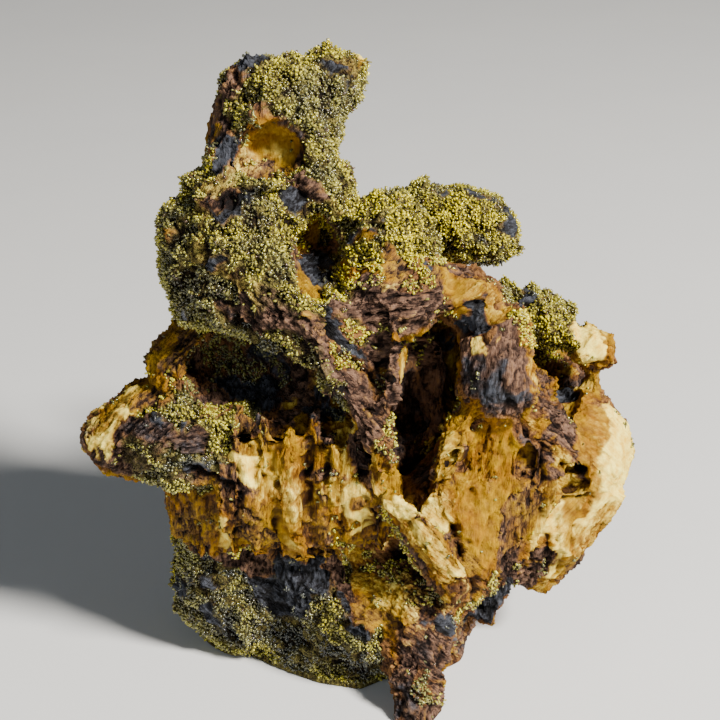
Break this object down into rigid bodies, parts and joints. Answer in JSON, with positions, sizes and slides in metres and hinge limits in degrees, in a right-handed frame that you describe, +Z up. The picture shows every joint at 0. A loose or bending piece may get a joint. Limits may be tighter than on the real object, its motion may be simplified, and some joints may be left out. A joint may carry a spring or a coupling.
{
  "type": "pyromorphite specimen",
  "caption": "Freestanding mineral specimen: a craggy block of ochre gossan with caves, a fluted band and an arm, overgrown above and below by a druse of small yellow-green crystals.",
  "frame": {"origin": "in the middle of the flat broken underside that the block rests on", "axes": "+Z up along the specimen's height; -Y is the side with the caves, the fluted band and the blade; +X is towards the rounded bulge"},
  "size_m": [0.1086, 0.0694, 0.1216],
  "materials": {
    "gossan": "rough, fibrous and earthy",
    "pyromorphite": "resinous crystal faces"
  },
  "bodies": {
    "root": {"matrix": "gossan", "crust_crown": "pyromorphite", "crust_lobe": "pyromorphite", "crust_knuckle": "pyromorphite", "crust_arm": "pyromorphite", "crust_foot": "pyromorphite"}
  },
  "joints": []
}
